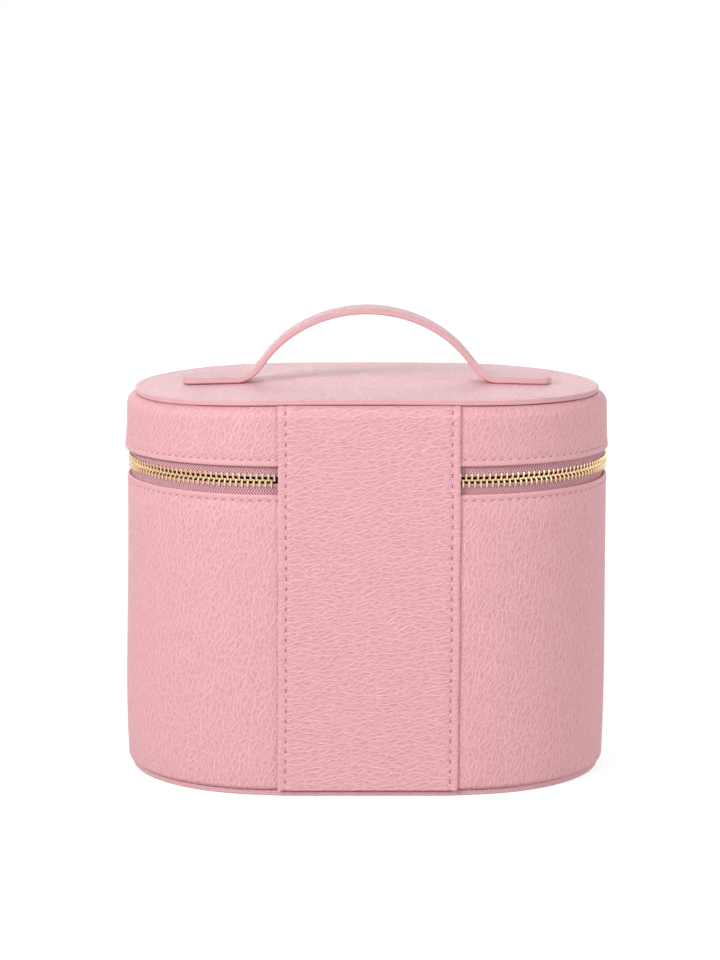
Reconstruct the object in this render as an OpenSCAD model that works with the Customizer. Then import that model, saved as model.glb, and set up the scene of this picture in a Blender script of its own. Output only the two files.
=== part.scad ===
// Zip-round vanity case: a stiff oval body and a hinged lid, covered in grained leather,
// with a strap handle on the lid and a metal zip that runs round to the hinge panel.
// Millimetres, +Z up. The origin is the centre of the resting face. The hinge is on the -Y side.

/* [Case] */
// Overall width of the walls
case_w = 220; // [190:1:265]
// Overall depth of the walls
case_d = 140; // [118:1:168]
// Height of the body's rim above the floor
body_h = 136.4; // [100:0.1:170]
// Height of the open band that the zip closes
zip_gap = 12.4; // [11:0.1:15]
// Height of the lid, from its rim to the top of its disc
lid_h = 29.5; // [24:0.1:48]

/* [Walls] */
// Thickness of the wall leather
leather_t = 1.2; // [0.9:0.1:1.6]
// Thickness of the foam behind the wall leather
foam_t = 0.9; // [0.8:0.1:2]
// Thickness of the stiffening board in the walls
board_t = 1.8; // [1.2:0.1:2.6]
// Thickness of the fabric lining
lining_t = 0.6; // [0.4:0.1:1]
// Height of the turned hem at each rim
hem_h = 8; // [6:0.5:12]
// Width of the leather that turns in under each disc
flange_w = 12; // [9:0.5:16]
// Radius of the lid's rounded shoulder
shoulder_r = 5; // [3:0.5:8]
// Radius at the foot of the body's wall
foot_r = 2.4; // [2:0.1:4]
// Glue line left between bonded layers
glue = 0.1; // [0.05:0.05:0.2]

/* [Discs] */
// Thickness of the covered disc on top of the lid
lid_disc_t = 2.9; // [2.4:0.1:4]
// How far the lid's disc stands in from the wall
lid_disc_inset = 3.8; // [2:0.1:6]
// Thickness of the covered disc under the body
base_disc_t = 2.5; // [2.2:0.1:4]
// How far the base disc stands in from the wall
base_disc_inset = 1.4; // [0.5:0.1:4]
// Thickness of the leather on both discs
disc_skin_t = 0.7; // [0.5:0.1:0.8]
// Radius on the edges of both discs
disc_edge_r = 0.6; // [0.3:0.1:0.8]
// Thickness of the board that carries the lining in the lid and in the base
inner_board_t = 1.6; // [1.2:0.1:2.4]
// Thickness of the padded floor inside the body
floor_pad_t = 2; // [1:0.1:4]

/* [Hinge] */
// Thickness of the leather hinge panel
panel_t = 1.3; // [1:0.1:1.8]
// How far the panel runs past the straight of the back wall, at each side
panel_lap = 0.5; // [0:0.1:1]
// Where the panel stops on the lid's shoulder, in degrees above level
panel_end_a = 55; // [40:1:62]
// How far the zip's ends run in under the panel
zip_tuck = 6.5; // [4:0.5:10]

/* [Zip] */
// Distance from one tooth to the next in a row
tooth_pitch = 2.61; // [2.4:0.01:3.2]
// Width of a tooth along the zip
tooth_w = 1.15; // [0.9:0.01:1.18]
// Thickness of a tooth, from outside to inside
tooth_t = 2.4; // [2:0.1:2.8]
// Reach of a tooth from the zip's middle line to its far end
tooth_reach = 3.05; // [2.8:0.05:3.1]
// How far a tooth's head passes the middle line
tooth_bite = 0.45; // [0.2:0.05:0.6]
// Thickness of the woven tape
tape_t = 0.6; // [0.4:0.1:0.8]
// Distance from the zip's middle line to the tape's edge
tape_edge = 1.5; // [1.2:0.1:2]
// Gap between a tooth and the tape it grips
tooth_fit = 0.15; // [0.1:0.05:0.2]
// How much thinner a tooth's head is than its legs, at each side
head_taper = 0.35; // [0.2:0.05:0.5]
// Width of the clip at each end of a row
stop_w = 2; // [1.5:0.1:3]

/* [Sliders] */
// Length of a slider along the zip
slider_l = 12; // [10:0.5:14]
// Half the height of a slider at its nose
slider_nose = 4.5; // [4.3:0.1:4.9]
// Half the height of a slider at its tail
slider_tail = 4.1; // [4.1:0.1:4.4]
// Thickness of a slider's plates
plate_t = 1; // [0.8:0.1:1.2]
// Thickness of a slider's side lips
lip_t = 0.8; // [0.6:0.05:0.8]
// Gap between a slider's lips and the tape, at each side
slit_fit = 0.35; // [0.2:0.05:0.4]
// Gap between a slider's plates and the teeth
slider_fit = 0.15; // [0.1:0.05:0.3]
// Gap between the two sliders' noses
nose_gap = 0.6; // [0.4:0.1:1]
// Radius of the bar that a ring hangs on
bar_r = 0.75; // [0.6:0.05:0.9]
// How far the bar's posts stand in from the slider's ends
bar_inset = 1.9; // [1.5:0.1:2.5]
// Room for the ring between the bar and the plate
bar_clear = 2.05; // [1.8:0.05:2.6]
// Radius of a ring's wire
wire_r = 0.55; // [0.45:0.05:0.6]
// Clearance between the bar and the ring round it
ring_fit = 0.25; // [0.15:0.05:0.35]
// Distance between the centres of a ring's two round ends
ring_l = 5; // [4:0.1:7]
// Thickness of a pull
pull_t = 1.2; // [1:0.1:1.4]
// Length of a pull below its hole
pull_l = 24; // [16:0.5:32]
// Width of a pull at its foot
pull_w = 6; // [4:0.1:6.2]
// Radius of the round end about a pull's hole
eye_r = 2.4; // [2:0.1:2.8]
// Clearance of a pull's hole round the ring's wire
eye_fit = 0.45; // [0.3:0.05:0.6]

/* [Handle] */
// Width of the strap
strap_w = 20; // [14:0.5:26]
// Thickness of the strap's two leather faces
strap_skin_t = 0.95; // [0.6:0.05:1.2]
// Thickness of the strap's core
strap_core_t = 0.7; // [0.4:0.1:1.2]
// How far the strap's core stands in from its edges
core_inset = 0.6; // [0.4:0.1:1.5]
// Length of the strap that lies flat on the lid, at each end
strap_foot_l = 24; // [16:0.5:28]
// Distance from the end of the case to the end of the strap
strap_setback = 26; // [22:0.5:34]
// Rise of the strap's underside over the lid at the middle
strap_rise = 31; // [26:0.1:38]
// Radius of the strap's corners
strap_corner_r = 2.5; // [1:0.1:5]
// Radius where the strap leaves the lid
strap_bend_r = 14; // [8:0.5:16]
// Radius of the strap's shoulders
strap_shoulder_r = 20; // [14:1:26]
// Slope where the strap's crown meets its shoulder
crown_a = 30; // [26:1:34]
// Slope of the strap's flanks
flank_a = 51; // [46:1:56]
// Thickness of the patches under the lid's disc that the handle is sewn to
patch_t = 1; // [0.6:0.1:1.1]

/* [Hidden] */
$fn = 64;

pink = [0.93, 0.70, 0.73];
pale_pink = [0.95, 0.79, 0.81];
rose_tape = [0.80, 0.56, 0.62];
lining_pink = [0.90, 0.80, 0.79];
board_grey = [0.72, 0.68, 0.62];
foam_white = [0.93, 0.93, 0.90];
gold = [0.85, 0.70, 0.40];

end_r = case_d / 2;
half_straight = (case_w - case_d) / 2;
lid_z = body_h + zip_gap;
top_z = lid_z + lid_h;
zip_z = body_h + zip_gap / 2;

// walls, as distances from the straight middle line outwards
hem_t = leather_t + foam_t - tape_t;
foam_out = end_r - leather_t - glue;
board_out = foam_out - foam_t - glue;
lining_out = board_out - board_t - glue;
lining_in = lining_out - lining_t;
tape_out = end_r - hem_t - glue;
chain_r = tape_out - tape_t / 2;

// levels
flange_bottom = base_disc_t + glue;
inner_floor_z = flange_bottom + leather_t + glue;
pad_z = inner_floor_z + inner_board_t + glue;
flange_top = top_z - lid_disc_t - glue;
inner_roof_z = flange_top - leather_t - glue;
roof_r = min(lining_out, end_r - shoulder_r);
rim_back = 0.5;

// hinge panel
panel_half = half_straight + panel_lap;
panel_in = end_r + glue;
panel_out = panel_in + panel_t;
zip_end_x = panel_half - zip_tuck;
tape_hold = hem_h - rim_back;
web_gap = 1;
seam_gap = 0.4;

// slider
channel_half = tooth_t / 2 + slider_fit;
slit_half = tape_t / 2 + slit_fit;
plate_out = channel_half + plate_t;
bar_y = plate_out + bar_clear + bar_r;
ring_r = bar_r + ring_fit + wire_r;
eye_z = -ring_l - ring_r;
post_w = 1.4;
neck_l = 2.8;
neck_half = 1.1;
nose_blunt = 0.2;
open_half = nose_gap / 2 + neck_l + tooth_w / 2;

// handle
strap_half = case_w / 2 - strap_setback;
strap_z = top_z + glue;
arch_half = strap_half - strap_foot_l;

// ---- outline of the case -------------------------------------------------------------

// sweeps a section, drawn as distance from the middle line and height, round the oval
module round_oval() {
    for (side = [0, 180])
        rotate([0, 0, side]) {
            translate([half_straight, 0, 0]) rotate([0, 0, -90]) rotate_extrude(angle = 180) children();
            straight_run(-half_straight, half_straight) children();
        }
}

// the same, left open at the back between -gap_half and gap_half
module round_to_hinge(gap_half) {
    for (side = [0, 1])
        mirror([side, 0, 0]) {
            translate([half_straight, 0, 0]) rotate([0, 0, -90]) rotate_extrude(angle = 180) children();
            straight_run(0, half_straight) children();
            mirror([0, 1, 0]) straight_run(gap_half, half_straight) children();
        }
}

// a section carried along the front wall, from x0 to x1
module straight_run(x0, x1) {
    translate([x0, 0, 0]) rotate([90, 0, 90]) linear_extrude(x1 - x0) children();
}

// a section carried along the back wall, centred
module back_run(half) {
    mirror([0, 1, 0]) straight_run(-half, half) children();
}

module band(r0, r1, z0, z1) {
    translate([r0, z0]) square([r1 - r0, z1 - z0]);
}

// a plate's section whose outer edge is rounded
module round_edge_plate(r, z0, z1, edge_r) {
    band(0, r - edge_r, z0, z1);
    band(0, r, z0 + edge_r, z1 - edge_r);
    for (z = [z0 + edge_r, z1 - edge_r])
        translate([r - edge_r, z]) circle(edge_r);
}

// a quarter of a bent sheet, from level to upright, outside the point [r, z]
module sheet_bend(r, z, bend_r, t, up = 1) {
    translate([r, z]) intersection() {
        difference() {
            circle(bend_r);
            circle(bend_r - t);
        }
        translate([0, up > 0 ? 0 : -bend_r]) square(bend_r);
    }
}

// ---- discs under the body and on the lid ----------------------------------------------

// leather turned over a board: the flap faces the wall
module disc_leather(r, z0, z1, flap_up) {
    color(pale_pink) round_oval() difference() {
        round_edge_plate(r, z0, z1, disc_edge_r);
        band(-1, r - disc_skin_t, z0 + disc_skin_t, z1 - disc_skin_t);
        band(-1, r - flange_w, flap_up ? z0 + disc_skin_t : z0 - 1, flap_up ? z1 + 1 : z1 - disc_skin_t);
    }
}

module disc_board(r, z0, z1) {
    color(board_grey) round_oval()
        band(0, r - disc_skin_t - glue, z0 + disc_skin_t + glue, z1 - disc_skin_t - glue);
}

module base_leather() { disc_leather(end_r - base_disc_inset, 0, base_disc_t, true); }

module base_board() { disc_board(end_r - base_disc_inset, 0, base_disc_t); }

module lid_disc_leather() { disc_leather(end_r - lid_disc_inset, top_z - lid_disc_t, top_z, false); }

module lid_disc_board() { disc_board(end_r - lid_disc_inset, top_z - lid_disc_t, top_z); }

// ---- layers of the two walls ------------------------------------------------------------

// the wraps' ends meet behind the hinge panel
module back_seam(z0, z1) {
    translate([-seam_gap / 2, -case_d, z0]) cube([seam_gap, case_d, z1 - z0]);
}

module body_leather() {
    color(pink) difference() {
        round_oval() {
            band(end_r - leather_t, end_r, flange_bottom + foot_r, body_h - hem_t / 2);
            band(end_r - hem_t, end_r, body_h - hem_h, body_h - hem_t / 2);
            translate([end_r - hem_t / 2, body_h - hem_t / 2]) circle(hem_t / 2);
            sheet_bend(end_r - foot_r, flange_bottom + foot_r, foot_r, leather_t, -1);
            band(end_r - flange_w, end_r - foot_r, flange_bottom, flange_bottom + leather_t);
        }
        back_seam(0, lid_z);
    }
}

module body_foam() {
    color(foam_white) round_oval()
        band(foam_out - foam_t, foam_out, flange_bottom + foot_r, body_h - hem_h - glue);
}

module body_board() {
    color(board_grey) round_oval()
        band(board_out - board_t, board_out, inner_floor_z, body_h - rim_back);
}

module base_inner_board() {
    color(board_grey) round_oval()
        band(0, lining_out, inner_floor_z, inner_floor_z + inner_board_t);
}

module body_lining() {
    color(lining_pink) round_oval() band(lining_in, lining_out, pad_z, body_h - rim_back);
}

module floor_pad() {
    color(lining_pink) round_oval()
        round_edge_plate(lining_in - glue, pad_z, pad_z + floor_pad_t, floor_pad_t / 4);
}

module lid_leather() {
    color(pink) difference() {
        round_oval() {
            band(end_r - leather_t, end_r, lid_z + hem_t / 2, flange_top - shoulder_r);
            band(end_r - hem_t, end_r, lid_z + hem_t / 2, lid_z + hem_h);
            translate([end_r - hem_t / 2, lid_z + hem_t / 2]) circle(hem_t / 2);
            sheet_bend(end_r - shoulder_r, flange_top - shoulder_r, shoulder_r, leather_t);
            band(end_r - flange_w, end_r - shoulder_r, flange_top - leather_t, flange_top);
        }
        back_seam(lid_z - 1, top_z);
    }
}

module lid_foam() {
    color(foam_white) round_oval()
        band(foam_out - foam_t, foam_out, lid_z + hem_h + glue, flange_top - shoulder_r);
}

module lid_board() {
    color(board_grey) round_oval()
        band(board_out - board_t, board_out, lid_z + rim_back, flange_top - shoulder_r);
}

module lid_inner_board() {
    color(board_grey) round_oval()
        band(0, roof_r, inner_roof_z - inner_board_t, inner_roof_z);
}

module lid_roof_lining() {
    color(lining_pink) round_oval()
        band(0, roof_r, inner_roof_z - inner_board_t - glue - lining_t, inner_roof_z - inner_board_t - glue);
}

module lid_wall_lining() {
    color(lining_pink) round_oval()
        band(lining_in, lining_out, lid_z + rim_back, inner_roof_z - inner_board_t - 2 * glue - lining_t);
}

// ---- hinge: leather outside, webbing inside ------------------------------------------------

module hinge_panel_lower() {
    color(pink) back_run(panel_half) band(panel_in, panel_out, base_disc_t + glue, body_h);
}

module hinge_panel_flex() {
    color(pink) back_run(panel_half) band(panel_in, panel_out, body_h + glue / 2, lid_z - glue / 2);
}

module hinge_panel_upper() {
    color(pink) back_run(panel_half) {
        band(panel_in, panel_out, lid_z, flange_top - shoulder_r);
        translate([end_r - shoulder_r, flange_top - shoulder_r]) intersection() {
            difference() {
                circle(panel_out - end_r + shoulder_r);
                circle(panel_in - end_r + shoulder_r);
            }
            polygon([[0, 0], [3 * shoulder_r, 0], 3 * shoulder_r * [1, tan(panel_end_a)]]);
        }
    }
}

module hinge_webbing() {
    color(rose_tape) back_run(zip_end_x - web_gap)
        band(tape_out - tape_t, tape_out, body_h - tape_hold, lid_z + tape_hold);
}

// ---- zip -------------------------------------------------------------------------------------

// moves children from the front middle to a point of the zip, at a distance u along it
module along_zip(u) {
    side = u < 0 ? -1 : 1;
    arc_l = PI * chain_r;
    run = abs(u) - half_straight;
    if (run <= 0)
        translate([u, chain_r, 0]) children();
    else if (run <= arc_l)
        translate([side * half_straight, 0, 0]) rotate([0, 0, -side * run / arc_l * 180])
            translate([0, chain_r, 0]) children();
    else
        translate([side * (half_straight - run + arc_l), -chain_r, 0]) rotate([0, 0, 180]) children();
}

zip_half_l = half_straight + PI * chain_r + panel_lap + zip_tuck;
last_tooth = floor((zip_half_l - 1.5 * stop_w) / tooth_pitch) - 1;

module zip_tape(up) {
    color(rose_tape) round_to_hinge(zip_end_x) translate([0, zip_z]) mirror([0, up ? 0 : 1])
        band(tape_out - tape_t, tape_out, tape_edge, zip_gap / 2 + tape_hold);
}

// one tooth above the middle line: two legs grip the tape, the head passes the line
module tooth() {
    leg_in = tape_t / 2 + tooth_fit;
    leg_out = tooth_t / 2;
    head = leg_out - head_taper;
    translate([-tooth_w / 2, 0, 0]) rotate([90, 0, 90]) linear_extrude(tooth_w)
        polygon([
            [-head, -tooth_bite], [head, -tooth_bite], [leg_out, tooth_bite], [leg_out, tooth_reach],
            [leg_in, tooth_reach], [leg_in, tape_edge - tooth_fit], [-leg_in, tape_edge - tooth_fit],
            [-leg_in, tooth_reach], [-leg_out, tooth_reach], [-leg_out, tooth_bite]
        ]);
}

// the teeth in the sliders' throats stand parted there, and are left out
module zip_teeth(up) {
    shift = up ? 0 : 0.5;
    color(gold) for (i = [-last_tooth : last_tooth - (up ? 0 : 1)]) {
        u = (i + shift) * tooth_pitch;
        if (abs(u) > open_half)
            along_zip(u) translate([0, 0, zip_z]) mirror([0, 0, up ? 0 : 1]) tooth();
    }
}

// a plain clip at each end of a row, behind the hinge panel
module zip_stops(up) {
    u = (last_tooth + 1) * tooth_pitch + stop_w / 2;
    color(gold) for (side = [-1, 1])
        along_zip(side * u) translate([0, 0, zip_z]) mirror([0, 0, up ? 0 : 1]) difference() {
            translate([-stop_w / 2, -tooth_t / 2, tooth_fit]) cube([stop_w, tooth_t, tooth_reach]);
            translate([-stop_w, -tape_t / 2 - tooth_fit, tape_edge - tooth_fit])
                cube([2 * stop_w, tape_t + 2 * tooth_fit, tooth_reach]);
        }
}

// ---- sliders, drawn for the right side with the nose at x = 0 and the zip's middle at y = 0, z = 0 ----

module slider_outline(inset) {
    polygon([
        [0, inset - slider_nose], [slider_l / 4, inset - slider_nose], [slider_l, inset - slider_tail],
        [slider_l, slider_tail - inset], [slider_l / 4, slider_nose - inset], [0, slider_nose - inset]
    ]);
}

// extrudes a shape of x and z from y0 to y1
module depth(y0, y1) {
    translate([0, y1, 0]) rotate([90, 0, 0]) linear_extrude(y1 - y0) children();
}

module slider() {
    bar_l = slider_l - 2 * bar_inset;
    color(gold) {
        for (side = [0, 1])
            mirror([0, side, 0]) {
                depth(channel_half, plate_out) slider_outline(0);
                depth(slit_half, channel_half) difference() {
                    slider_outline(0);
                    translate([-1, 0]) slider_outline(lip_t);
                    translate([1, 0]) slider_outline(lip_t);
                }
            }
        depth(-channel_half, channel_half)
            polygon([
                [0, nose_blunt - neck_half], [neck_l / 2, -neck_half], [neck_l, 0],
                [neck_l / 2, neck_half], [0, neck_half - nose_blunt]
            ]);
        translate([slider_l / 2, bar_y, 0]) {
            rotate([0, 90, 0]) cylinder(r = bar_r, h = bar_l, center = true);
            for (side = [-1, 1])
                translate([side * (bar_l - post_w) / 2 - post_w / 2, plate_out - bar_y, -bar_r])
                    cube([post_w, bar_y - plate_out, 2 * bar_r]);
        }
    }
}

// a long link round the bar, hanging
module slider_ring() {
    color(gold) translate([slider_l / 2, bar_y, 0]) rotate([0, 90, 0]) {
        for (end = [0, 1])
            translate([end * ring_l, 0, 0]) rotate([0, 0, 90 - 180 * end])
                rotate_extrude(angle = 180) translate([ring_r, 0]) circle(wire_r);
        for (side = [-1, 1])
            translate([0, side * ring_r, 0]) rotate([0, 90, 0]) cylinder(r = wire_r, h = ring_l);
    }
}

module slider_pull() {
    hole_r = wire_r + eye_fit;
    tip_r = pull_w / 2;
    color(gold) translate([slider_l / 2, bar_y, eye_z]) depth(-pull_t / 2, pull_t / 2) difference() {
        union() {
            circle(eye_r);
            polygon([
                [-eye_r * 0.8, -eye_r * 0.6], [-tip_r, tip_r - pull_l],
                [tip_r, tip_r - pull_l], [eye_r * 0.8, -eye_r * 0.6]
            ]);
            translate([0, tip_r - pull_l]) circle(tip_r);
        }
        circle(hole_r);
    }
}

module on_zip(left) {
    mirror([left ? 1 : 0, 0, 0]) translate([nose_gap / 2, chain_r, zip_z]) children();
}

// ---- handle: two leather faces on a core, sewn flat to the lid at both ends ----

// radius of the crown and length of the straight flank, from the strap's span and rise
span_left = arch_half - strap_shoulder_r * (sin(flank_a) - sin(crown_a)) - strap_bend_r * sin(flank_a);
rise_left = strap_rise - strap_shoulder_r * (cos(crown_a) - cos(flank_a)) - strap_bend_r * (1 - cos(flank_a));
crown_det = sin(crown_a) * sin(flank_a) - cos(flank_a) * (1 - cos(crown_a));
crown_r = (span_left * sin(flank_a) - rise_left * cos(flank_a)) / crown_det;
flank_l = (rise_left * sin(crown_a) - span_left * (1 - cos(crown_a))) / crown_det;

// points of the right half at a height o above the underside, from the crown to the end
function arc_points(centre, r, a0, a1, steps) =
    [for (i = [0 : steps]) let (a = a0 + (a1 - a0) * i / steps) centre + r * [sin(a), cos(a)]];

function strap_half_points(o) =
    let (
        crown_c = [0, strap_rise - crown_r],
        shoulder_c = crown_c + (crown_r - strap_shoulder_r) * [sin(crown_a), cos(crown_a)],
        bend_c = [arch_half, strap_bend_r]
    )
    concat(
        arc_points(crown_c, crown_r + o, 0, crown_a, 10),
        arc_points(shoulder_c, strap_shoulder_r + o, crown_a, flank_a, 8),
        arc_points(bend_c, strap_bend_r - o, 180 + flank_a, 180, 10),
        [[strap_half, o]]
    );

function mirrored(points) = [for (i = [len(points) - 1 : -1 : 0]) [-points[i][0], points[i][1]]];

function whole_strap(o) = concat(mirrored(strap_half_points(o)), strap_half_points(o));

function reversed(points) = [for (i = [len(points) - 1 : -1 : 0]) points[i]];

module strap_layer(o0, o1, side_inset) {
    half_w = strap_w / 2 - side_inset;
    intersection() {
        translate([0, half_w, strap_z]) rotate([90, 0, 0]) linear_extrude(2 * half_w)
            polygon(concat(whole_strap(o1), reversed(whole_strap(o0))));
        translate([0, 0, strap_z - 1]) linear_extrude(strap_rise + 10)
            strap_plan(strap_half - side_inset, half_w);
    }
}

module strap_plan(half_l, half_w) {
    square([2 * (half_l - strap_corner_r), 2 * half_w], center = true);
    square([2 * half_l, 2 * (half_w - strap_corner_r)], center = true);
    for (x = [-1, 1], y = [-1, 1])
        translate([x * (half_l - strap_corner_r), y * (half_w - strap_corner_r)]) circle(strap_corner_r);
}

module handle_underside() { color(pale_pink) strap_layer(0, strap_skin_t, 0); }

module handle_core() {
    core_o = strap_skin_t + glue / 2;
    color(board_grey) strap_layer(core_o, core_o + strap_core_t, core_inset);
}

module handle_leather() {
    color(pale_pink)
        strap_layer(strap_skin_t + strap_core_t + glue, 2 * strap_skin_t + strap_core_t + glue, 0);
}

// stiff patches that spread the handle's pull, between the lid's disc and its inner board
module handle_patches() {
    color(board_grey) for (side = [-1, 1])
        translate([side * (strap_half - strap_foot_l / 2), 0, inner_roof_z + glue + patch_t / 2])
            cube([strap_foot_l, strap_w, patch_t], center = true);
}

// ---- what each node draws ----

base_leather();
base_board();
base_inner_board();
floor_pad();
body_leather();
body_foam();
body_board();
body_lining();
zip_tape(false);  // zip_tape_lower
zip_teeth(false);  // zip_teeth_lower
zip_stops(false);  // zip_stops_lower
hinge_panel_lower();
hinge_panel_flex();
hinge_webbing();
lid_disc_leather();
lid_disc_board();
lid_inner_board();
lid_roof_lining();
lid_leather();
lid_foam();
lid_board();
lid_wall_lining();
zip_tape(true);  // zip_tape_upper
zip_teeth(true);  // zip_teeth_upper
zip_stops(true);  // zip_stops_upper
hinge_panel_upper();
handle_leather();
handle_core();
handle_underside();
handle_patches();
on_zip(true) slider();  // slider_left
on_zip(true) slider_ring();  // slider_ring_left
on_zip(true) slider_pull();  // slider_pull_left
on_zip(false) slider();  // slider_right
on_zip(false) slider_ring();  // slider_ring_right
on_zip(false) slider_pull();  // slider_pull_right
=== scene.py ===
"""The looks of a zip-round vanity case in pink leather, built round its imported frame. Metres, +Z up."""

from math import ceil, cos, floor, pi, radians, sin, sqrt

import bmesh
import bpy
from mathutils import Matrix, Vector


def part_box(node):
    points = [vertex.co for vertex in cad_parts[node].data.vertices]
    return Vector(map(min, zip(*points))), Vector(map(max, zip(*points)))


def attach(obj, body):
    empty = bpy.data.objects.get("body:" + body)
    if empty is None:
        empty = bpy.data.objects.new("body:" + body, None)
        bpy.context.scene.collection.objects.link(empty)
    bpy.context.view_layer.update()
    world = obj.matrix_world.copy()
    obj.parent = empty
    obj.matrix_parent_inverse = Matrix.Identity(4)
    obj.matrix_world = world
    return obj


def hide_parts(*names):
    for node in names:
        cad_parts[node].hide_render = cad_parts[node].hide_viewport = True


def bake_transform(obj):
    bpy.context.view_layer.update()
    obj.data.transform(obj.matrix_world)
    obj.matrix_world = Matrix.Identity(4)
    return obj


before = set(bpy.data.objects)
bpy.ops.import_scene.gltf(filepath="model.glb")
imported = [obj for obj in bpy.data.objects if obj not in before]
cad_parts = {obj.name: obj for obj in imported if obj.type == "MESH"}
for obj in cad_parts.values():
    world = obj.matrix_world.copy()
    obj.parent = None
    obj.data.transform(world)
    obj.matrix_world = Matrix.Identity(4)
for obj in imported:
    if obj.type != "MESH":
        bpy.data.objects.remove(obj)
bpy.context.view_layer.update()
scene = bpy.context.scene
scene.view_settings.view_transform = "Standard"

# ---- Camera ----
# Stands square to the hinge panel, a little above the lid, and looks down on it by some nine degrees.
# A long lens keeps the case's sides nearly parallel.

look_down = 0.1620
camera_data = bpy.data.cameras.new("camera")
camera_data.lens = 120.8
camera_data.sensor_width = 36
camera = bpy.data.objects.new("camera", camera_data)
camera.location = (-0.0032, -1.4657, 0.3712)
camera.rotation_euler = (pi / 2 - look_down, 0, 0)
scene.collection.objects.link(camera)
scene.camera = camera

# ---- How finishes are made ----
# Wire is a value on its way through a material, and Python's own signs on it do the maths.
# Finish is one material: leather, thread, tape, metal, board, foam and cloth are all made with it.


class Wire:
    """A value inside a material. Python's own signs on it add Math nodes."""

    def __init__(self, socket):
        self.socket = socket

    def maths(self, operation, other=0.0, flipped=False):
        node = self.socket.id_data.nodes.new("ShaderNodeMath")
        node.operation = operation
        terms = (other, self) if flipped else (self, other)
        for socket, term in zip(node.inputs, terms):
            feed(socket, term)
        return Wire(node.outputs[0])

    def __add__(self, other):
        return self.maths("ADD", other)

    def __sub__(self, other):
        return self.maths("SUBTRACT", other)

    def __rsub__(self, other):
        return self.maths("SUBTRACT", other, flipped=True)

    def __mul__(self, other):
        return self.maths("MULTIPLY", other)

    def __truediv__(self, other):
        return self.maths("DIVIDE", other)

    def __abs__(self):
        return self.maths("ABSOLUTE")

    __radd__ = __add__
    __rmul__ = __mul__

    def beat(self, pitch):
        """0 at the middle of each pitch, a half where two meet."""
        return abs((self / pitch).maths("FRACT") - 0.5)


def feed(socket, value):
    """Links a wire to a socket, or sets the socket's own value."""
    if isinstance(value, Wire):
        socket.id_data.links.new(value.socket, socket)
    else:
        socket.default_value = value


class Finish:
    """A procedural material. Even values go on its shader, the rest comes from its nodes."""

    def __init__(self, name, even):
        self.material = bpy.data.materials.new(name)
        self.material.use_nodes = True
        self.tree = self.material.node_tree
        self.shader = self.tree.nodes["Principled BSDF"]
        for socket, value in even.items():
            self.shader.inputs[socket].default_value = value

    def node(self, kind, settings, inputs, output=0):
        node = self.tree.nodes.new("ShaderNode" + kind)
        for name, value in settings.items():
            setattr(node, name, value)
        for name, value in inputs.items():
            feed(node.inputs[name], value)
        return Wire(node.outputs[output])

    def steps(self, place, size, turn=(0, 0, 0)):
        """Coordinates turned, then counted in steps of size."""
        settings = {"Vector": place, "Rotation": turn, "Scale": size}
        return self.node("Mapping", {"vector_type": "TEXTURE"}, settings)

    def place(self, size=(1, 1, 1), turn=(0, 0, 0)):
        """Object coordinates, turned, then counted in steps of size."""
        return self.steps(self.node("TexCoord", {}, {}, "Object"), size, turn)

    def along(self, axis):
        """One of the object coordinates, in metres."""
        return self.node("SeparateXYZ", {}, {0: self.node("TexCoord", {}, {}, "Object")}, axis)

    def own_place(self):
        """The piece's own flat coordinates: X is the way round the oval, Y is across the band."""
        return self.node("UVMap", {"uv_map": "round"}, {}, "UV")

    def round_about(self, axis):
        """One of the piece's own coordinates, in metres."""
        return self.node("SeparateXYZ", {}, {0: self.own_place()}, axis)

    def noise(self, place, scale=1.0, detail=2.0, output=0):
        return self.node("TexNoise", {}, {"Vector": place, "Scale": scale, "Detail": detail}, output)

    def wander(self, place, scale, reach):
        """The same coordinates, pushed about by noise."""
        push = self.noise(place, scale, 1.0, 1)
        return self.node("VectorMath", {"operation": "MULTIPLY_ADD"}, {0: push, 1: [reach] * 3, 2: place})

    def border(self, place, scale=1.0, dimensions="3D"):
        """Distance to the nearest border between cells."""
        settings = {"voronoi_dimensions": dimensions, "feature": "DISTANCE_TO_EDGE"}
        return self.node("TexVoronoi", settings, {"Vector": place, "Scale": scale})

    def edges(self, place, scale, start, end):
        """1 on the borders between cells, 0 inside them."""
        return self.fade(self.border(place, scale), end, start)

    def veins(self, place, aside, width):
        """1 on the borders between flat cells that run along the grain, faint on those that cross it.
        aside is a step across the grain. A border that is still near after it crosses the grain."""
        near = []
        for way in ("ADD", "SUBTRACT"):
            moved = self.node("VectorMath", {"operation": way}, {0: place, 1: aside})
            near.append(self.border(moved, 1, "2D"))
        along = self.fade(near[0].maths("MINIMUM", near[1]), 0.03, 0.14) * 0.85 + 0.15
        return self.fade(self.border(place, 1, "2D"), width, 0.02) * along

    def fade(self, value, zero, one):
        """0 where value is at zero, 1 where it is at one, smooth between."""
        return self.node("MapRange", {"interpolation_type": "SMOOTHSTEP"}, {0: value, 1: zero, 2: one})

    def mix(self, share, first, second, blend="MIX"):
        settings = {"data_type": "RGBA", "blend_type": blend}
        return self.node("Mix", settings, {0: share, 6: first, 7: second}, 2)

    def cover(self, colour, height=None, relief=0.0001, roughness=None):
        feed(self.shader.inputs["Base Color"], colour)
        if roughness is not None:
            feed(self.shader.inputs["Roughness"], roughness)
        if height is not None:
            bump = self.node("Bump", {}, {"Distance": relief, "Height": height})
            feed(self.shader.inputs["Normal"], bump)
        return self.material


def dress(piece, material):
    """Puts one material on a piece or on a node of the frame."""
    piece.data.materials.clear()
    piece.data.materials.append(material)
    return piece


# ---- Floor and light ----
# A plain pale floor that runs to the horizon and keeps the case's soft shadow. One soft key light
# stands in front to the left, with a weaker one to the right, a broad one behind and even light all
# round.

ambient = 0.34
near_glow = 0.74
far_glow = 0.86
floor_white = Finish("floor_white", {"Roughness": 0.9, "Specular IOR Level": 0.1, "Emission Strength": 1})


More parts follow.
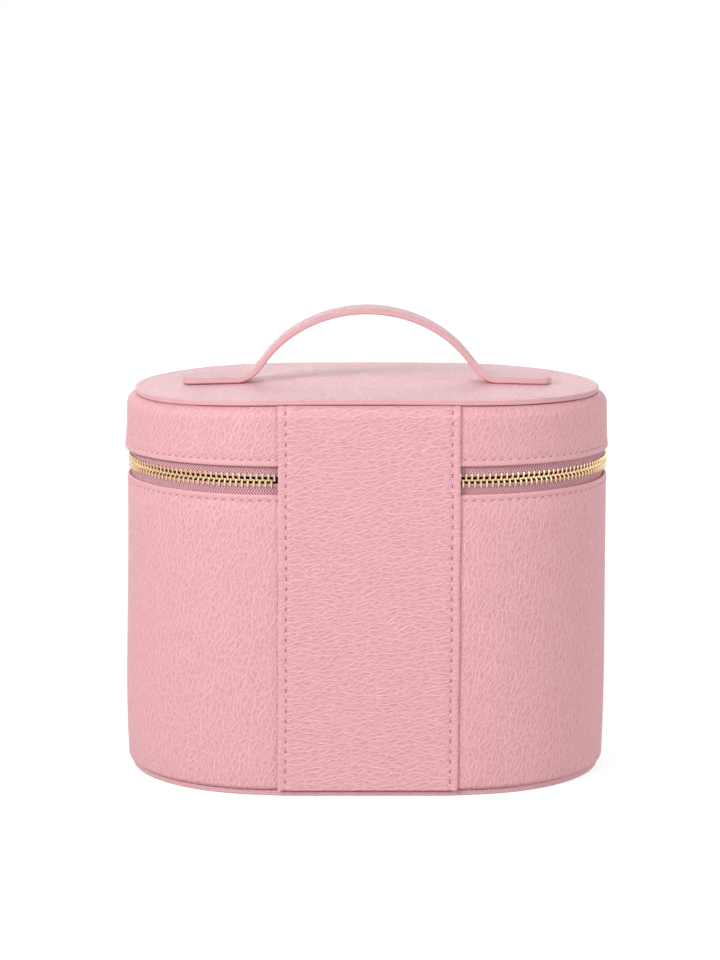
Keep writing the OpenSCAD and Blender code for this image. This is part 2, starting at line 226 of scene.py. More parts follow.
def seen_by(tree):
    """1 for what the camera, metal and glass see, 0 for what lights the object."""
    rays = tree.nodes.new("ShaderNodeLightPath").outputs
    seen = Wire(rays["Is Camera Ray"]).maths("MAXIMUM", Wire(rays["Is Glossy Ray"]))
    return seen.maths("MAXIMUM", Wire(rays["Is Transmission Ray"]))


away = floor_white.node("VectorMath", {"operation": "LENGTH"}, {0: floor_white.place()}, "Value")
glow = floor_white.fade(away, 0.4, 3.0) * (far_glow - near_glow) + near_glow
glow = floor_white.mix(seen_by(floor_white.tree) * glow, (0, 0, 0, 1), (1, 1, 1, 1))
floor_white.cover((0.45, 0.45, 0.45, 1))
feed(floor_white.shader.inputs["Emission Color"], glow)

floor_mesh = bpy.data.meshes.new("floor")
bm = bmesh.new()
bmesh.ops.create_grid(bm, x_segments=1, y_segments=1, size=20)
bm.to_mesh(floor_mesh)
bm.free()
ground = bpy.data.objects.new("floor", floor_mesh)
scene.collection.objects.link(ground)
dress(ground, floor_white.material)

world = bpy.data.worlds.new("studio")
scene.world = world
world.use_nodes = True
backdrop = world.node_tree.nodes["Background"]
backdrop.inputs["Color"].default_value = (1, 1, 1, 1)
feed(backdrop.inputs["Strength"], seen_by(world.node_tree) * (1 - ambient) + ambient)


def soft_light(name, watts, size, spot, aim=(0, 0, 0.1)):
    data = bpy.data.lights.new(name, "AREA")
    data.energy = watts
    data.size = size
    lamp = bpy.data.objects.new(name, data)
    lamp.location = spot
    lamp.rotation_euler = (Vector(aim) - Vector(spot)).to_track_quat("-Z", "Y").to_euler()
    scene.collection.objects.link(lamp)


soft_light("key", 22, 0.7, (-1.0, -1.1, 0.9))
soft_light("fill", 15, 1.2, (1.5, -0.9, 0.5))
soft_light("back", 22, 2.6, (-0.3, 2.2, 0.8))

# ---- Base disc ----
# The disc that the case stands on: a stiff board with smooth pink leather turned over its edge.
# It is glued under the body's turned-in foot, a little in from the wall, and presses out at the back
# over the end of the hinge panel.

MM = 0.001
lean_reach = 0.8 * MM
base_inset = 0.5 * MM
base_press = 2.2 * MM
press_margin = 3 * MM
wall_low, wall_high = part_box("body_leather")
panel_low, panel_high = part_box("hinge_panel_lower")
end_r = wall_high.y
panel_lap = 0.5 * MM
half_straight = panel_high.x - panel_lap
turn_steps = 40


def arc(r, z, radius, first, last, steps=6):
    """Points on a round corner of a section, from the first angle to the last, in degrees."""
    angles = [radians(first + (last - first) * i / steps) for i in range(steps + 1)]
    return [(r + radius * cos(a), z + radius * sin(a)) for a in angles]


def turn_end(bm, edges, side):
    """Turns a section through half a circle about one end of the oval."""
    corners = list({v for e in edges for v in e.verts})
    middle = (side * half_straight, 0, 0)
    turned = bmesh.ops.spin(bm, geom=corners + edges, cent=middle, axis=(0, 0, 1), angle=pi, steps=turn_steps)
    return [g for g in turned["geom_last"] if isinstance(g, bmesh.types.BMEdge)]


def run_straight(bm, edges, length, step=0.004):
    """Draws a section along X in short steps."""
    count = ceil(abs(length) / step)
    for _ in range(count):
        grown = bmesh.ops.extrude_edge_only(bm, edges=edges)["geom"]
        corners = [g for g in grown if isinstance(g, bmesh.types.BMVert)]
        bmesh.ops.translate(bm, verts=corners, vec=(length / count, 0, 0))
        edges = [g for g in grown if isinstance(g, bmesh.types.BMEdge) and all(v in corners for v in g.verts)]
    return edges


def round_oval(section, ring=True, gap_half=None):
    """Carries a section, as distances from the middle line and heights, round the oval.
    With gap_half it stops that far from the middle of the back, at each side."""
    bm = bmesh.new()
    start = half_straight if gap_half is None else gap_half
    corners = [bm.verts.new((start, -r, z)) for r, z in section]
    pairs = list(zip(corners, corners[1:])) + ([(corners[-1], corners[0])] if ring else [])
    edges = [bm.edges.new(pair) for pair in pairs]
    if gap_half is not None:
        bm.faces.new(corners)
        edges = run_straight(bm, edges, half_straight - gap_half)
    edges = turn_end(bm, edges, 1)
    edges = run_straight(bm, edges, -2 * half_straight)
    edges = turn_end(bm, edges, -1)
    if gap_half is None:
        run_straight(bm, edges, 2 * half_straight)
    else:
        edges = run_straight(bm, edges, half_straight - gap_half)
        bmesh.ops.contextual_create(bm, geom=edges)
    bmesh.ops.remove_doubles(bm, verts=bm.verts, dist=1e-6)
    bmesh.ops.recalc_face_normals(bm, faces=bm.faces)
    return bm


def keep(bm, name, body, slot, material, *nodes):
    """Makes a finished piece of a mesh, which rides on a body and stands for nodes of the frame."""
    mesh = bpy.data.meshes.new(name)
    bm.to_mesh(mesh)
    bm.free()
    mesh.polygons.foreach_set("use_smooth", [True] * len(mesh.polygons))
    mesh.set_sharp_from_angle(angle=radians(50))
    piece = bpy.data.objects.new(name, mesh)
    scene.collection.objects.link(piece)
    dress(piece, material)
    if body:
        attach(piece, body)
    if nodes:
        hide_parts(*nodes)
    return piece


pink = (0.79, 0.405, 0.437, 1)
vein_pink = (0.93, 0.58, 0.61, 1)
pit_pink = (0.66, 0.30, 0.33, 1)
soft_leather = {"Roughness": 0.52, "Specular IOR Level": 0.42, "Sheen Weight": 0.04, "Sheen Roughness": 0.35}


def shade(colour, share):
    return [channel * share for channel in colour[:3]] + [1]


def smooth_leather(name, colour, size):
    """Leather pressed nearly flat: a fine shallow grain on the faces that look up or down, smooth and
    a little darker round the turned edge."""
    finish = Finish(name, soft_leather | {"Roughness": 0.47})
    here = finish.place((2.2 * size, size, size), (0, 0, radians(28)))
    bent = finish.wander(here, 0.6, 0.9)
    crease = finish.edges(bent, 1, 0.01, 0.12)
    patch = finish.noise(finish.place([12 * MM] * 3), 1, 2)
    pores = finish.noise(here, 3.5, 2)
    facing = finish.node("SeparateXYZ", {}, {0: finish.node("TexCoord", {}, {}, "Normal")}, 2)
    flat = finish.fade(abs(facing), 0.35, 0.75)
    height = crease * (patch * 0.6 + 0.4) + pores * 0.6
    tone = finish.mix(patch * 0.35, colour, shade(colour, 1.05))
    tone = finish.mix(finish.fade(pores, 0.4, 0.6) * flat, tone, shade(colour, 0.85))
    tone = finish.mix(crease * 0.6 * flat, tone, vein_pink)
    tone = finish.mix(flat, shade(colour, 0.86), tone)
    return finish.cover(tone, height * flat, 0.34 * MM)


disc_leather = smooth_leather("disc_leather", (0.83, 0.46, 0.49, 1), 2.6 * MM)


def fold_line(out, middle, half, shy, deep):
    """The fine line round the middle of a turned edge, half as wide as half says to each side."""
    return [(out - shy, middle + half), (out - deep, middle), (out - shy, middle - half)]


def covered_disc(low, high, radius, corner=0.8 * MM, crease=3.4 * MM):
    """A leather-covered disc: a bulged edge with the fold's fine line round its middle, and a shallow
    crease on top where the edge of the leather's pressed band lies."""
    band = radius - crease
    edge = [(band - 0.3 * MM, high), (band, high - 0.13 * MM), (band + 0.3 * MM, high)]
    edge += [(radius - 2 * MM, high + 0.06 * MM)]
    edge += arc(radius - corner, high - corner, corner, 90, 15)
    edge += fold_line(radius, (low + high) / 2, 0.22 * MM, 0.02 * MM, 0.16 * MM)
    edge += arc(radius - corner, low + corner, corner, -15, -90)
    inward = [0, 0.2, 0.4, 0.6, 0.8, 0.93]
    above = [(share * band, high) for share in inward]
    under = [(share * (radius - corner), low) for share in reversed(inward)]
    return round_oval(above + edge + under, ring=False)


def lean(bm):
    """The body stands a little askew on its base, which lies further to the left than its rim."""
    for corner in bm.verts:
        corner.co.x -= lean_reach * max(0, 1 - corner.co.z / wall_high.z) ** 2
    return bm


def press_out(bm):
    """The hinge panel's end, glued behind the disc's edge, presses the edge out as far as its face."""
    for corner in bm.verts:
        beside = min(1, max(0, (panel_high.x + press_margin - abs(corner.co.x)) / (2 * press_margin)))
        behind = max(0, min(1, (-corner.co.y - end_r + 4 * MM) / press_margin))
        corner.co.y -= base_press * beside * behind
    return bm


base_low, base_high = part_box("base_leather")
base_disc = press_out(lean(covered_disc(base_low.z, base_high.z, base_high.y - base_inset)))
# The base's leather is a darker copy of the top disc's: painted shade for the weaker light low down.
base_skin_shaded = smooth_leather("base_skin_shaded", (0.80, 0.44, 0.47, 1), 1.8 * MM)
keep(base_disc, "base_disc", "case_body", "smooth_leather", base_skin_shaded, "base_leather", "base_board")

# ---- Body wall ----
# One wrap of pebbled leather over foam and board, turned in at the foot and hemmed at the rim.
# Its two ends meet under the hinge panel, and it fills out a little low on the round ends.

leather_t = 1.2 * MM
hem_t = 1.5 * MM
hem_h = 8 * MM
foot_r = 2.4 * MM
flange_w = 12 * MM
stitch_pitch = 4.1 * MM
rim_line = 2.8 * MM
dip = 0.28 * MM
hem_puff = 0.1 * MM
belly_left = 1.1 * MM
belly_right = 0.5 * MM
oval_length = 4 * half_straight + 2 * pi * end_r
round_pitch = oval_length / round(oval_length / stitch_pitch)


def way_round(x, y):
    """Distance along the wall's outer face from the middle of the front, less than nothing to the left."""
    side = 1 if x >= 0 else -1
    if abs(x) <= half_straight:
        return x if y > 0 else side * (oval_length / 2) - x
    turned = Vector((abs(x) - half_straight, y)).angle(Vector((0, 1)))
    return side * (half_straight + turned * end_r)


def map_round(bm, across):
    """Gives each face its way round the oval and a distance across the band, with no break at the back."""
    layer = bm.loops.layers.uv.new("round")
    for face in bm.faces:
        home = face.calc_center_median()
        middle = way_round(home.x, home.y)
        for loop in face.loops:
            u = way_round(loop.vert.co.x, loop.vert.co.y)
            u -= oval_length * round((u - middle) / oval_length)
            loop[layer].uv = (u, across(loop.vert.co))
    return bm


def end_share(x):
    """0 along the straights, rising to 1 at the ends of the oval."""
    return (max(0, abs(x) - half_straight) / end_r) ** 2


def push_out(bm, reach):
    """Moves each corner away from the middle line by what reach gives for its place."""
    for corner in bm.verts:
        middle = max(-half_straight, min(half_straight, corner.co.x))
        away = Vector((corner.co.x - middle, corner.co.y, 0)).normalized()
        corner.co += away * reach(corner.co)
    return bm


def pebbled_leather(name, cell, slant, calm, holes, hole_shade_pink, calm_darkening=0.1):
    """Pebbled leather: long pale wrinkles over a finer net of veins, round darker wells. cell is the
    fine net's, slant its turn. calm and holes are made from the finish: calm is 1 where sewing has
    pulled the grain flat, holes is 1 in the needle holes, whose dark colour is painted shade.
    The last argument says how far the calm leather is painted towards the wells' darker pink."""
    finish = Finish(name, soft_leather)
    waved = finish.wander(finish.wander(finish.own_place(), 65, 5 * MM), 420, 0.9 * MM)
    place = finish.steps(waved, (*cell, 1), (0, 0, slant))
    tall = cell[0] < cell[1]
    aside = (0.2, 0, 0) if tall else (0, 0.2, 0)
    long_place = finish.steps(place, (1.5, 1.9, 1) if tall else (1.9, 1.5, 1))
    still = 1 - calm(finish) * 0.65
    patch = finish.fade(finish.noise(finish.place([9 * MM] * 3), 1, 2), 0.34, 0.62)
    fine = finish.veins(place, aside, 0.11) * (patch * 0.5 + 0.2)
    wrinkle = finish.veins(long_place, aside, 0.1) * (1 - patch * 0.35)
    vein = fine.maths("MAXIMUM", wrinkle) * still
    fine_well = finish.fade(finish.border(place, 1, "2D"), 0.02, 0.36)
    long_well = finish.fade(finish.border(long_place, 1, "2D"), 0.02, 0.22)
    well = (fine_well * 0.6 + long_well * 0.4) * still
    pores = finish.noise(finish.place([0.55 * MM] * 3), 1, 1)
    pierced = holes(finish)
    tone = finish.mix(well * (patch * 0.2 + 0.45), pink, pit_pink)
    tone = finish.mix(finish.fade(pores, 0.56, 0.36) * 0.3 * still, tone, pit_pink)
    tone = finish.mix(vein * 0.9, tone, vein_pink)
    # The calm bands are painted a little darker, towards the wells' pink, by the last argument's share.
    tone = finish.mix((1 - still) * calm_darkening, tone, pit_pink)
    # Painted shade: the needle holes are painted dark for the shade inside them.
    tone = finish.mix(pierced, tone, hole_shade_pink)
    height = pores * 0.5 + vein * 0.2 - well * 0.85 - pierced
    return finish.cover(tone, height, 0.2 * MM, 0.55 - vein * 0.1)


def needle_holes(finish, run, pitch, gap, outer, inner):
    """1 in the holes of a row of stitches: one to each pitch of the run, where gap is small."""
    return finish.fade(run.beat(pitch), 0.2, 0.13) * finish.fade(gap, outer, inner)


def sewn_rim(rim, line, inward):
    """Masks for a hem: the calm band up to the stitch line, and the holes along it."""

    def calm(finish):
        return finish.fade((finish.along(2) - rim) * inward, line * 1.25, line * 0.95)

    def holes(finish):
        gap = abs(finish.round_about(1) - (rim + inward * line))
        return needle_holes(finish, finish.round_about(0), round_pitch, gap, 0.36 * MM, 0.18 * MM)

    return calm, holes


# Dark pink painted into the hems' needle holes as their shade.
hem_hole_shade = (0.56, 0.27, 0.30, 1)
body_rim = wall_high.z
body_calm, body_holes = sewn_rim(body_rim, rim_line, -1)
body_pebble = pebbled_leather(
    "body_pebble", (1.7 * MM, 3.3 * MM), radians(14), body_calm, body_holes, hem_hole_shade
)


def stitch_dip(r, z, up):
    """The valley that a row of stitches pulls into the leather, passed on the way up or down."""
    valley = [(-0.9, 0), (-0.4, -dip * 0.5), (0, -dip), (0.4, -dip * 0.3), (0.9, hem_puff)]
    return [(r + rise, z + up * step * MM) for step, rise in valley]


foot = wall_low.z
body_section = [(end_r - flange_w, foot)]
body_section += arc(end_r - foot_r, foot + foot_r, foot_r, -90, 0, 8)
body_section += [(end_r, foot + step / 10 * (body_rim - foot)) for step in range(1, 10)]
body_section += stitch_dip(end_r, body_rim - rim_line, 1)
body_section += arc(end_r - hem_t / 2 + hem_puff, body_rim - hem_t / 2, hem_t / 2, 0, 180, 8)
body_section += [(end_r - hem_t, body_rim - hem_h), (end_r - leather_t, body_rim - hem_h)]
body_section += arc(end_r - foot_r, foot + foot_r, foot_r - leather_t, 0, -90, 4)
body_section += [(end_r - flange_w, foot + leather_t)]


def belly(co):
    """How far the body's wall stands out: most low down, and more on the left end."""
    height = min(1, max(0, (co.z - foot) / (body_rim - foot)))
    return (belly_left if co.x < 0 else belly_right) * end_share(co.x) * sin(pi * (1 - height) ** 2.2)


bm = lean(push_out(map_round(round_oval(body_section), lambda co: co.z), belly))
keep(bm, "body_wrap", "case_body", "grained_leather", body_pebble, "body_leather")

# ---- Body stitches ----
# Pale pink waxed thread, sewn through leather, tape and board below the rim.
# Each stitch lies a little askew in the valley that its pull has made.

thread_r = 0.34 * MM
stitch_share = 0.62
stitch_l = stitch_share * stitch_pitch
stitch_lift = 0.16 * MM
stitch_droop = 0.22 * MM
thread = Finish("thread", {"Roughness": 0.6, "Sheen Weight": 0.3})
twist = thread.place((0.35 * MM, 0.35 * MM, 0.35 * MM), (0, radians(35), radians(35)))
strands = thread.node("TexWave", {}, {"Vector": twist, "Scale": 0.5, "Distortion": 0.6})
thread_pink = thread.mix(strands * 0.4, (0.86, 0.54, 0.57, 1), (0.72, 0.41, 0.44, 1))
sewing_thread = thread.cover(thread_pink, strands, 0.05 * MM)

one_stitch = bpy.data.meshes.new("one_stitch")
bm = bmesh.new()
lying = Matrix.Rotation(pi / 2, 4, "Y")
bmesh.ops.create_uvsphere(bm, u_segments=8, v_segments=6, radius=thread_r, matrix=lying)
bmesh.ops.scale(bm, verts=bm.verts, vec=(stitch_l / 2 / thread_r, 1, 1))
for corner in bm.verts:
    share = 2 * corner.co.x / stitch_l
    corner.co.z -= stitch_droop * share * share
bm.to_mesh(one_stitch)
bm.free()


def sew(bm, place):
    """Adds a stitch at a place: its X is along the line, its Z stands out of the leather."""
    first = len(bm.verts)
    bm.from_mesh(one_stitch)
    bm.verts.ensure_lookup_table()
    bmesh.ops.transform(bm, matrix=place, verts=bm.verts[first:])


def on_oval(u, r, z, tilt=0.0):
    """The place at a way round the oval, on a wall face r from the middle line: Z looks outwards."""
    side = 1 if u >= 0 else -1
    run = abs(u)
    arc_l = pi * end_r
    if run <= half_straight:
        spot, heading = Vector((u, r, z)), 0
    elif run <= half_straight + arc_l:
        heading = -side * (run - half_straight) / end_r
        spot = Matrix.Rotation(heading, 3, "Z") @ Vector((0, r, z)) + Vector((side * half_straight, 0, 0))
    else:
        spot, heading = Vector((side * (oval_length / 2 - run), -r, z)), pi
    upright = Matrix(((1, 0, 0), (0, 0, 1), (0, -1, 0))).to_4x4()
    turned = Matrix.Rotation(heading, 4, "Z") @ upright @ Matrix.Rotation(tilt, 4, "Z")
    return Matrix.Translation(spot) @ turned


def sew_round(r, z, tilt):
    bm = bmesh.new()
    count = round(oval_length / round_pitch)
    for i in range(count):
        u = (i - count // 2) * round_pitch
        place = on_oval(u, r, z, tilt)
        hidden = place.translation.y < 0 and abs(place.translation.x) < half_straight - 1 * MM
        if not hidden:
            sew(bm, place)
    return bm


stitch_tilt = radians(8)
body_stitches = sew_round(end_r - dip + stitch_lift, body_rim - rim_line, stitch_tilt)
keep(lean(push_out(body_stitches, belly)), "body_stitches", "case_body", "grained_leather", sewing_thread)

# ---- Zip tapes ----
# Two mauve tapes woven in herringbone, each with a cord along the edge that the teeth grip.
# They are sewn behind the rims, and bow out a little at the round ends.

tape_t = 0.6 * MM
tape_low, tape_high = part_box("zip_tape_lower")
upper_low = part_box("zip_tape_upper")[0]
tape_out = tape_high.y
tape_in = tape_out - tape_t
chain_r = tape_out - tape_t / 2
zip_z = (tape_high.z + upper_low.z) / 2
tape_edge = upper_low.z - zip_z
zip_end_x = 34 * MM
bow_left = 0.3 * MM
bow_right = 1.0 * MM
bow_half = 6 * MM

weave = Finish("herringbone", {"Roughness": 0.8, "Specular IOR Level": 0.25, "Sheen Weight": 0.15})
zigzag = weave.round_about(1).maths("PINGPONG", 1.3 * MM)
rib = weave.fade((weave.round_about(0) + zigzag * 1.2).beat(1.35 * MM), 0.14, 0.36)
pick = weave.round_about(1).beat(0.42 * MM) * 2
yarn = rib * 0.9 + pick * 0.1
cord = weave.fade(abs(weave.along(2) - zip_z), tape_edge + 1.25 * MM, tape_edge + 0.7 * MM)
tape_tone = weave.mix(yarn, (0.25, 0.06, 0.09, 1), (0.92, 0.55, 0.59, 1))
tape_tone = weave.mix(weave.noise(weave.place([1.5 * MM] * 3), 1, 3) * 0.25, tape_tone, (0.60, 0.33, 0.38, 1))
tape_tone = weave.mix(cord * 0.7, tape_tone, (0.80, 0.45, 0.49, 1))
tape_cloth = weave.cover(tape_tone, yarn, 0.2 * MM)


def bow(co):
    """How far the zip bows out between the rims, at the round ends."""
    reach = bow_left if co.x < 0 else bow_right
    return reach * end_share(co.x) * max(0, 1 - ((co.z - zip_z) / bow_half) ** 2)


def tape_section(up):
    """A flat tape whose edge beside the teeth is thickened by a cord."""
    cord_r = 0.48 * MM
    far = tape_high.z - tape_low.z + tape_edge
    near = tape_edge + cord_r
    outline = [(tape_in, far), (tape_in, near + cord_r * 1.4)]
    outline += arc(chain_r, near, cord_r, 140, 400, 12)
    outline += [(tape_out, near + cord_r * 1.4)]
    outline += [(tape_out, near + share * (far - near)) for share in (0.35, 0.55, 0.75, 1)]
    return [(r, zip_z + up * h) for r, h in outline]


for name, up, body in (("zip_tape_lower", -1, "case_body"), ("zip_tape_upper", 1, "lid")):
    tape = map_round(round_oval(tape_section(up), gap_half=zip_end_x), lambda co: co.z)
    keep(push_out(tape, bow), name.replace("zip_", "woven_"), body, "zip_tape", tape_cloth, name)

# ---- Zip teeth ----
# Cast pale-gold teeth, each clamped on the corded edge of its tape, with heads that nest together
# on the middle line. A clip closes each end of a row.

gold = Finish("pale_gold", {"Metallic": 1.0, "Roughness": 0.2})
# The gold's random lighter and darker patches are painted reflections, standing in for dark and bright
# surroundings; the same noise varies the roughness.
reflection_mottle = gold.noise(gold.place([2.5 * MM] * 3), 1, 3)
gold_tone = gold.mix(reflection_mottle, (0.62, 0.43, 0.25, 1), (0.80, 0.61, 0.39, 1))
pale_gold = gold.cover(gold_tone, roughness=reflection_mottle * 0.2 + 0.1)

tooth_pitch = 2.61 * MM
tooth_w = 0.95 * MM
tooth_t = 2.3 * MM
tooth_reach = 3.05 * MM
tooth_bite = 0.45 * MM
clamp_start = 0.5 * MM
head_w = 1.2 * MM
head_t = tooth_t * 0.55
head_end = 0.9 * MM
tooth_edge = 0.27 * MM
open_half = 3.675 * MM
zip_half_l = half_straight + pi * chain_r + panel_lap + (half_straight + panel_lap - zip_end_x)
last_tooth = floor((zip_half_l - 3 * MM) / tooth_pitch) - 1

one_tooth = bpy.data.meshes.new("one_tooth")
bm = bmesh.new()
for width, thick, low, high in (
    (tooth_w, tooth_t, clamp_start, tooth_reach),
    (head_w, head_t, -tooth_bite, head_end),
):
    sized = Matrix.Translation((0, 0, (low + high) / 2)) @ Matrix.Diagonal((width, thick, high - low, 1))
    block = bmesh.ops.create_cube(bm, size=1, matrix=sized)["verts"]
    rims = list({e for v in block for e in v.link_edges})
    bmesh.ops.bevel(bm, geom=rims, offset=tooth_edge, segments=2, profile=0.5, affect="EDGES", material=-1)
bm.to_mesh(one_tooth)
bm.free()


def along_zip(u):
    """The place on the zip's middle line at a distance u from the middle of the front."""
    side = 1 if u >= 0 else -1
    run = abs(u) - half_straight
    if run <= 0:
        return Matrix.Translation((u, chain_r, zip_z))
    if run <= pi * chain_r:
        turned = Matrix.Rotation(-side * run / chain_r, 4, "Z") @ Matrix.Translation((0, chain_r, zip_z))
        return Matrix.Translation((side * half_straight, 0, 0)) @ turned
    spot = Matrix.Translation((side * (half_straight - run + pi * chain_r), -chain_r, zip_z))
    return spot @ Matrix.Rotation(pi, 4, "Z")


def tooth_row(up):
    bm = bmesh.new()
    shift = 0 if up > 0 else 0.5
    for i in range(-last_tooth, last_tooth + (1 if up > 0 else 0)):
        u = (i + shift) * tooth_pitch
        if abs(u) > open_half:
            first = len(bm.verts)
            bm.from_mesh(one_tooth)
            bm.verts.ensure_lookup_table()
            place = along_zip(u) @ (Matrix.Identity(4) if up > 0 else Matrix.Rotation(pi, 4, "Y"))
            bmesh.ops.transform(bm, matrix=place, verts=bm.verts[first:])
    return bm


for name, up, body in (("zip_teeth_lower", -1, "case_body"), ("zip_teeth_upper", 1, "lid")):
    row = push_out(tooth_row(up), bow)
    keep(row, name.replace("zip_teeth", "tooth_row"), body, "zip_metal", pale_gold, name)
for stop in ("zip_stops_lower", "zip_stops_upper"):
    dress(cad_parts[stop], pale_gold)

# ---- Hinge panel ----
# One strip of pebbled leather with turned edges, sewn down both sides to the body and to the lid.
# Its ends are glued in at the base disc and under the top disc.

lid_low, lid_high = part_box("lid_leather")
lid_rim = lid_low.z
shoulder_r = 5 * MM
shoulder_z = lid_high.z - shoulder_r
shoulder_y = end_r - shoulder_r
panel_t = 1.3 * MM
panel_half = 40.1 * MM
panel_shift = 0.9 * MM
panel_seam = 3.5 * MM
panel_pitch = 4.6 * MM
panel_foot = panel_low.z + 0.5 * MM
panel_wave = 0.12 * MM
panel_wave_l = 9 * MM
panel_end_a = radians(74)
panel_length = shoulder_z - panel_foot + panel_end_a * shoulder_r
crown = 1.9 * MM
slump = 2.8 * MM


def sag(x, y=0.0):
    """How far the lid's crowned top has dropped. Its back left corner is pressed down a little more."""
    pressed = slump * end_share(x) * max(0, -y / end_r) if x < 0 else 0
    return crown * (x / (half_straight + end_r)) ** 2 + pressed


def lay_flat(bm):
    """Gives a flat strip its own coordinates: X across it, Y up it."""
    layer = bm.loops.layers.uv.new("round")
    for face in bm.faces:
        for loop in face.loops:
            loop[layer].uv = (loop.vert.co.x, loop.vert.co.z)
    return bm


def bend_over(bm):
    """Sets the straight strip in its place: a little askew, its top bent over the lid's shoulder."""
    for corner in bm.verts:
        past = corner.co.z - shoulder_z
        out = -corner.co.y - end_r
        wave = panel_wave * sin(corner.co.z / panel_wave_l) * corner.co.x / panel_half
        corner.co.x += panel_shift + wave
        if past > 0:
            angle = past / shoulder_r
            thinning = 1 - 0.72 * max(0, angle / panel_end_a - 0.6) / 0.4
            reach = shoulder_r + 0.05 * MM + out * thinning
            corner.co.y = -shoulder_y - reach * cos(angle)
            corner.co.z = shoulder_z + reach * sin(angle)
    return bm


def panel_calm(finish):
    """Only half as flat as a hem, because the panel's edges are turned over softly."""
    start, end = [panel_half - panel_seam * share for share in (1.15, 0.9)]
    return 0.55 * finish.fade(abs(finish.round_about(0)), start, end)


def panel_holes(finish):
    gap = abs(abs(finish.round_about(0)) - (panel_half - panel_seam))
    return needle_holes(finish, finish.round_about(1), panel_pitch, gap, 0.42 * MM, 0.2 * MM)


# Dark pink painted into the panel's needle holes as their shade.
panel_hole_shade = (0.42, 0.17, 0.19, 1)
panel_pebble = pebbled_leather(
    "panel_pebble", (3.9 * MM, 1.6 * MM), radians(9), panel_calm, panel_holes, panel_hole_shade, 0
)

edge_r = panel_t / 2
panel_dip = 0.42 * MM
puffed_hem = [(0.25, 0.14 * MM), (0.45, 0.12 * MM), (0.7, -0.08 * MM), (0.88, -0.28 * MM), (1, -panel_dip)]
puffed_hem += [(1.1, -0.26 * MM), (1.25, 0.04 * MM), (1.5, 0.2 * MM), (1.9, 0.16 * MM), (2.7, 0.04 * MM)]
half_face = arc(panel_half - edge_r, edge_r, edge_r, -90, 90, 8)
half_face += [(panel_half - share * panel_seam, panel_t + lift) for share, lift in puffed_hem]
half_face += [(panel_half * share, panel_t) for share in (0.75, 0.5, 0.25)]
left_face = [(-x, out) for x, out in reversed(half_face)]
bm = bmesh.new()
corners = [bm.verts.new((x, -end_r - out, panel_foot)) for x, out in half_face + [(0, panel_t)] + left_face]
bm.faces.new(corners)
edges = [bm.edges.get(pair) for pair in zip(corners, corners[1:] + corners[:1])]
panel_rows = ceil(panel_length / (1.5 * MM))
for _ in range(panel_rows):
    grown = bmesh.ops.extrude_edge_only(bm, edges=edges)["geom"]
    corners = [g for g in grown if isinstance(g, bmesh.types.BMVert)]
    bmesh.ops.translate(bm, verts=corners, vec=(0, 0, panel_length / panel_rows))
    edges = [g for g in grown if isinstance(g, bmesh.types.BMEdge) and all(v in corners for v in g.verts)]
bmesh.ops.contextual_create(bm, geom=edges)
bmesh.ops.recalc_face_normals(bm, faces=bm.faces)
hinge_panel = keep(
    lean(bend_over(lay_flat(bm))), "hinge_panel", None, "grained_leather", panel_pebble,
    "hinge_panel_lower", "hinge_panel_flex", "hinge_panel_upper",
)
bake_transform(hinge_panel)

bm = bmesh.new()
first_row = ceil((panel_foot + 1 * MM) / panel_pitch)
last_row = floor((panel_foot + panel_length - 2 * MM) / panel_pitch)
upright = Matrix(((0, 1, 0), (0, 0, -1), (-1, 0, 0))).to_4x4()
longer = Matrix.Diagonal((panel_pitch / stitch_pitch, 1, 1, 1))
stitch_y = -end_r - panel_t + panel_dip - stitch_lift
for side in (-1, 1):
    for row in range(first_row, last_row + 1):
        spot = Vector((side * (panel_half - panel_seam), stitch_y, row * panel_pitch))
        sew(bm, Matrix.Translation(spot) @ upright @ Matrix.Rotation(stitch_tilt, 4, "Z") @ longer)
panel_stitches = keep(lean(bend_over(bm)), "panel_stitches", None, "grained_leather", sewing_thread)
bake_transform(panel_stitches)

# ---- Hinge webbing ----
# Flat woven webbing glued behind the rims, inside the panel, so that the hinge doesn't rest on
# leather alone.

web_low, web_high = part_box("hinge_webbing")
webbing = Finish("webbing", {"Roughness": 0.85, "Sheen Weight": 0.2})
warp = webbing.along(0).beat(0.9 * MM) * 2
weft = webbing.along(2).beat(0.5 * MM) * 2
web_tone = webbing.mix(warp * 0.5 + weft * 0.5, (0.40, 0.17, 0.21, 1), (0.66, 0.37, 0.42, 1))
webbing_cloth = webbing.cover(web_tone, warp + weft, 0.1 * MM)
bm = bmesh.new()
web_middle = (web_low + web_high) / 2
web_size = Matrix.Diagonal((*(web_high - web_low), 1))
bmesh.ops.create_cube(bm, size=1, matrix=Matrix.Translation(web_middle) @ web_size)
upright_edges = [e for e in bm.edges if abs(e.verts[0].co.z - e.verts[1].co.z) > 1 * MM]
bmesh.ops.subdivide_edges(bm, edges=upright_edges, cuts=40, use_grid_fill=True)
hinge_web = keep(bm, "hinge_web", None, "webbing", webbing_cloth, "hinge_webbing")
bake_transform(hinge_web)

# ---- Lid wall ----
# Pebbled leather over foam and board, hemmed at the rim like the body, rounded at the shoulder and
# glued in under the top disc. Its rim droops and flares a little at the round ends.

lid_line = 2.95 * MM
flare_left = 1.1 * MM
flare_right = 0.6 * MM
end_droop = 0.6 * MM
lid_calm, lid_holes = sewn_rim(lid_rim, lid_line, 1)
lid_pebble = pebbled_leather(
    "lid_pebble", (1.6 * MM, 3.2 * MM), radians(22), lid_calm, lid_holes, hem_hole_shade
)


